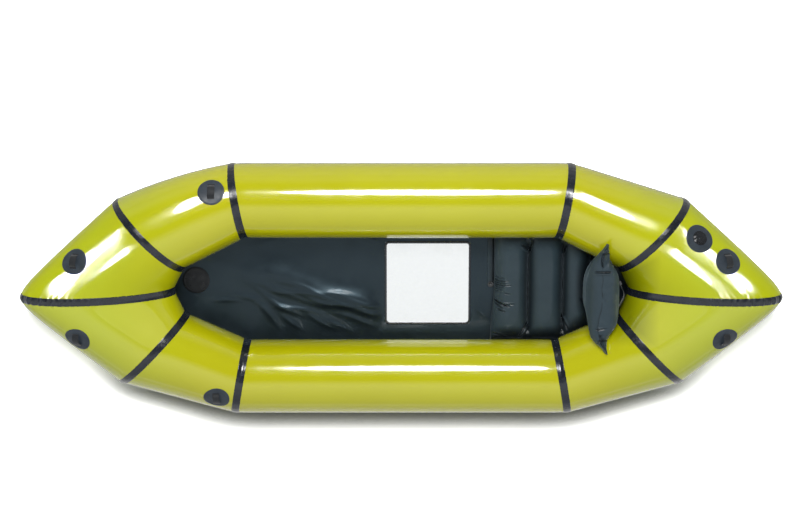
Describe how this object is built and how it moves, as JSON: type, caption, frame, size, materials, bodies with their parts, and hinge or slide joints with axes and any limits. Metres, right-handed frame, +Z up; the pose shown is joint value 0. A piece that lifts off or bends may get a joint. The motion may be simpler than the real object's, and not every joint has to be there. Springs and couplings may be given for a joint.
{
  "type": "inflatable packraft",
  "caption": "Small inflatable river raft with pointed, raised ends, a chambered seat, a standing backrest, webbing tie-down loops and a clear window in its floor.",
  "frame": {"origin": "on the ground under the middle of the raft, lying on its floor", "axes": "+X towards the stern, where the seat is, +Y towards starboard as +X leads, +Z up"},
  "size_m": [2.6906, 0.9186, 0.3332],
  "materials": {
    "hull_fabric": "glossy coated",
    "seam_tape": "glossy coated",
    "floor_fabric": "satin coated",
    "window_film": "clear film",
    "patch_fabric": "satin coated",
    "webbing": "woven",
    "cushion_fabric": "satin coated",
    "valve_plastic": "gloss",
    "spring_steel": "bright"
  },
  "bodies": {
    "hull": {"port_side_tube": "hull_fabric", "starboard_side_tube": "hull_fabric", "bow_port_quarter_tube": "hull_fabric", "bow_port_nose_tube": "hull_fabric", "bow_starboard_quarter_tube": "hull_fabric", "bow_starboard_nose_tube": "hull_fabric", "stern_port_quarter_tube": "hull_fabric", "stern_port_nose_tube": "hull_fabric", "stern_starboard_quarter_tube": "hull_fabric", "stern_starboard_nose_tube": "hull_fabric", "bow_port_mitre_tape": "seam_tape", "bow_port_shoulder_tape": "seam_tape", "bow_starboard_mitre_tape": "seam_tape", "bow_starboard_shoulder_tape": "seam_tape", "bow_centre_tape": "seam_tape", "stern_port_mitre_tape": "seam_tape", "stern_port_shoulder_tape": "seam_tape", "stern_starboard_mitre_tape": "seam_tape", "stern_starboard_shoulder_tape": "seam_tape", "stern_centre_tape": "seam_tape", "floor_sheet": "floor_fabric", "floor_window": "window_film", "window_rim": "seam_tape", "bow_port_nose_patch": "patch_fabric", "bow_starboard_nose_patch": "patch_fabric", "stern_port_nose_patch": "patch_fabric", "stern_starboard_nose_patch": "patch_fabric", "bow_port_quarter_patch": "patch_fabric", "bow_starboard_quarter_patch": "patch_fabric", "valve_patch": "patch_fabric", "bow_floor_patch": "patch_fabric", "bow_port_nose_loop": "webbing", "bow_starboard_nose_loop": "webbing", "stern_port_nose_loop": "webbing", "stern_starboard_nose_loop": "webbing", "bow_port_quarter_loop": "webbing", "bow_starboard_quarter_loop": "webbing", "valve_base": "valve_plastic", "seat_tube_collar": "valve_plastic", "seat_cushion": "cushion_fabric", "port_backrest_tab": "webbing", "starboard_backrest_tab": "webbing"},
    "backrest": {"backrest_cushion": "cushion_fabric", "backrest_strap": "webbing", "backrest_mouth_valve_base": "valve_plastic"},
    "backrest_valve_plug": {"backrest_mouth_valve_plug": "valve_plastic"},
    "strap_slider": {"strap_slider": "valve_plastic"},
    "inflation_tube": {"seat_inflation_tube": "cushion_fabric", "seat_mouth_valve_base": "valve_plastic"},
    "seat_valve_plug": {"seat_mouth_valve_plug": "valve_plastic"},
    "valve_cap": {"valve_cap": "valve_plastic"},
    "valve_insert": {"valve_insert": "valve_plastic", "poppet_spring": "spring_steel"},
    "valve_poppet": {"valve_poppet": "valve_plastic"}
  },
  "joints": [
    {"name": "backrest_tilt", "type": "hinge", "parent": "hull", "child": "backrest", "pos_m": [0.71, 0, 0.055], "axis": [0, -1, 0], "range_deg": [0, 40]},
    {"name": "backrest_valve_twist", "type": "hinge", "parent": "backrest", "child": "backrest_valve_plug", "pos_m": [0.75814, 0.03871, 0.13261], "axis": [0.9712, 0.0968, -0.2177], "range_deg": [0, 180]},
    {"name": "strap_slider_slide", "type": "slide", "parent": "backrest", "child": "strap_slider", "axis": [0.4159, -0.9094, 0], "range_m": [0, 0.022]},
    {"name": "inflation_tube_lift", "type": "hinge", "parent": "hull", "child": "inflation_tube", "pos_m": [0.327, 0.17, 0.0035], "axis": [-1, 0, 0], "range_deg": [0, 85]},
    {"name": "seat_valve_twist", "type": "hinge", "parent": "inflation_tube", "child": "seat_valve_plug", "pos_m": [0.327, -0.015, 0.0053], "axis": [0, 0, 1], "range_deg": [0, 180]},
    {"name": "valve_cap_turn", "type": "hinge", "parent": "hull", "child": "valve_cap", "pos_m": [1.04031, 0.22294, 0.29598], "axis": [0.3139, 0.4714, 0.8242], "range_deg": [0, 270]},
    {"name": "valve_insert_turn", "type": "hinge", "parent": "hull", "child": "valve_insert", "pos_m": [1.04031, 0.22294, 0.29598], "axis": [0.3139, 0.4714, 0.8242], "range_deg": [0, 270]},
    {"name": "valve_poppet_press", "type": "slide", "parent": "valve_insert", "child": "valve_poppet", "axis": [-0.3139, -0.4714, -0.8242], "range_m": [0, 0.003], "stiffness_N_per_m": 400, "deforming": ["poppet_spring"]}
  ]
}
